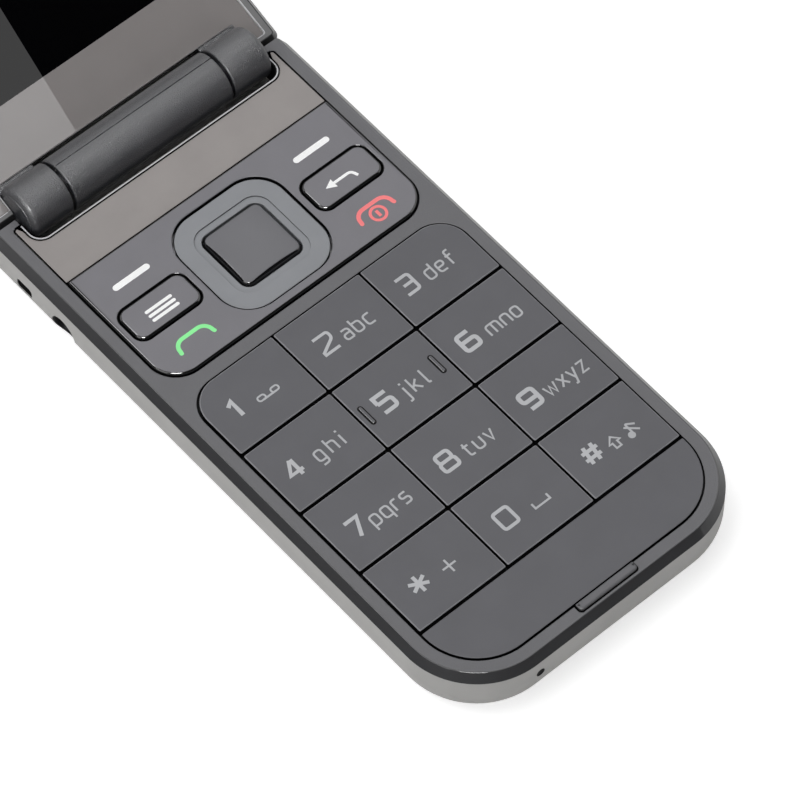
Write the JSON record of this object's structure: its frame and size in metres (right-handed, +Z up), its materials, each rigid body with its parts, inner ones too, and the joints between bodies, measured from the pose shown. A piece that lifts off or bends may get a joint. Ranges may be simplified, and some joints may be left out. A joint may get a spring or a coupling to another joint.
{
  "type": "folding mobile phone",
  "caption": "Folding mobile phone with a number keypad, a direction ring and function keys on one half and a display half on a barrel hinge.",
  "frame": {"origin": "middle of the keypad half's flat underside, where the phone rests on a table", "axes": "+Y along the keypad half towards the hinge, +Z up out of the keypad, +X to the right of a user who faces the keypad"},
  "size_m": [0.054, 0.2003, 0.0442],
  "materials": {
    "front_housing": "satin dark grey",
    "rear_housing": "satin light grey",
    "trim": "satin taupe lacquer",
    "keys": "satin grey with light legends",
    "function_keys": "satin grey",
    "ring": "satin blue grey",
    "select": "glossy grey",
    "barrel": "grained charcoal",
    "rubber": "matt",
    "steel": "bright",
    "board": "solder mask",
    "black_plastic": "black",
    "cell": "black sleeve",
    "window": "clear face with taupe print behind it",
    "display": "dark when off"
  },
  "bodies": {
    "base": {"base_front_housing": "front_housing", "base_rear_housing": "rear_housing", "battery_cover": "rear_housing", "trim_plate": "trim", "keypad_blank": "keys", "lid_rest": "rubber", "key_mat": "rubber", "dome_sheet": "steel", "main_board": "board", "battery": "cell", "battery_contacts": "steel", "headset_jack": "black_plastic", "charge_socket": "steel", "microphone": "steel", "loudspeaker": "black_plastic", "vibration_motor": "steel", "card_holder": "steel", "base_screws": "steel", "barrel_front_shell": "barrel", "barrel_rear_shell": "barrel", "hinge_can": "steel", "pivot_bush": "steel", "pivot_pin": "steel", "strap_pin": "steel"},
    "lid": {"lid_frame": "rear_housing", "lid_back": "rear_housing", "lid_window": "window", "display": "display", "lid_board": "board", "earpiece": "black_plastic", "lid_magnet": "steel", "knuckle_left": "barrel", "knuckle_right": "barrel", "hinge_shaft": "steel"},
    "key_1": {"key_1": "keys"},
    "key_2": {"key_2": "keys"},
    "key_3": {"key_3": "keys"},
    "key_4": {"key_4": "keys"},
    "key_5": {"key_5": "keys"},
    "key_6": {"key_6": "keys"},
    "key_7": {"key_7": "keys"},
    "key_8": {"key_8": "keys"},
    "key_9": {"key_9": "keys"},
    "key_star": {"key_star": "keys"},
    "key_0": {"key_0": "keys"},
    "key_hash": {"key_hash": "keys"},
    "menu_key": {"menu_key": "function_keys"},
    "back_key": {"back_key": "function_keys"},
    "select_key": {"select_key": "select"},
    "nav_ring": {"nav_ring": "ring"},
    "nav_pad": {"nav_pad": "rubber"},
    "function_plate": {"function_plate": "function_keys"},
    "function_pad": {"function_pad": "rubber"}
  },
  "joints": [
    {"name": "lid_hinge", "type": "hinge", "parent": "base", "child": "lid", "pos_m": [0, 0.05121, 0.0108], "axis": [1, 0, 0], "range_deg": [0, 160.5]},
    {"name": "key_1_press", "type": "slide", "parent": "base", "child": "key_1", "axis": [0, 0, -1], "range_m": [0, 0.0003], "stiffness_N_per_m": 600},
    {"name": "key_2_press", "type": "slide", "parent": "base", "child": "key_2", "axis": [0, 0, -1], "range_m": [0, 0.0003], "stiffness_N_per_m": 600},
    {"name": "key_3_press", "type": "slide", "parent": "base", "child": "key_3", "axis": [0, 0, -1], "range_m": [0, 0.0003], "stiffness_N_per_m": 600},
    {"name": "key_4_press", "type": "slide", "parent": "base", "child": "key_4", "axis": [0, 0, -1], "range_m": [0, 0.0003], "stiffness_N_per_m": 600},
    {"name": "key_5_press", "type": "slide", "parent": "base", "child": "key_5", "axis": [0, 0, -1], "range_m": [0, 0.0003], "stiffness_N_per_m": 600},
    {"name": "key_6_press", "type": "slide", "parent": "base", "child": "key_6", "axis": [0, 0, -1], "range_m": [0, 0.0003], "stiffness_N_per_m": 600},
    {"name": "key_7_press", "type": "slide", "parent": "base", "child": "key_7", "axis": [0, 0, -1], "range_m": [0, 0.0003], "stiffness_N_per_m": 600},
    {"name": "key_8_press", "type": "slide", "parent": "base", "child": "key_8", "axis": [0, 0, -1], "range_m": [0, 0.0003], "stiffness_N_per_m": 600},
    {"name": "key_9_press", "type": "slide", "parent": "base", "child": "key_9", "axis": [0, 0, -1], "range_m": [0, 0.0003], "stiffness_N_per_m": 600},
    {"name": "key_star_press", "type": "slide", "parent": "base", "child": "key_star", "axis": [0, 0, -1], "range_m": [0, 0.0003], "stiffness_N_per_m": 600},
    {"name": "key_0_press", "type": "slide", "parent": "base", "child": "key_0", "axis": [0, 0, -1], "range_m": [0, 0.0003], "stiffness_N_per_m": 600},
    {"name": "key_hash_press", "type": "slide", "parent": "base", "child": "key_hash", "axis": [0, 0, -1], "range_m": [0, 0.0003], "stiffness_N_per_m": 600},
    {"name": "menu_key_press", "type": "slide", "parent": "base", "child": "menu_key", "axis": [0, 0, -1], "range_m": [0, 0.0003], "stiffness_N_per_m": 600},
    {"name": "back_key_press", "type": "slide", "parent": "base", "child": "back_key", "axis": [0, 0, -1], "range_m": [0, 0.0003], "stiffness_N_per_m": 600},
    {"name": "select_key_press", "type": "slide", "parent": "base", "child": "select_key", "axis": [0, 0, -1], "range_m": [0, 0.0003], "stiffness_N_per_m": 600},
    {"name": "function_pitch", "type": "hinge", "parent": "base", "child": "function_pad", "pos_m": [0, 0.02621, 0.0098], "axis": [1, 0, 0], "range_deg": [-1.2, 1.2], "stiffness_Nm_per_rad": 0.05},
    {"name": "function_roll", "type": "hinge", "parent": "function_pad", "child": "function_plate", "pos_m": [0, 0.02621, 0.0098], "axis": [0, 1, 0], "range_deg": [-0.6, 0.6], "stiffness_Nm_per_rad": 0.05},
    {"name": "nav_pitch", "type": "hinge", "parent": "base", "child": "nav_pad", "pos_m": [0, 0.02581, 0.0098], "axis": [1, 0, 0], "range_deg": [-1.6, 1.6], "stiffness_Nm_per_rad": 0.05},
    {"name": "nav_roll", "type": "hinge", "parent": "nav_pad", "child": "nav_ring", "pos_m": [0, 0.02581, 0.0098], "axis": [0, 1, 0], "range_deg": [-1.6, 1.6], "stiffness_Nm_per_rad": 0.05}
  ]
}
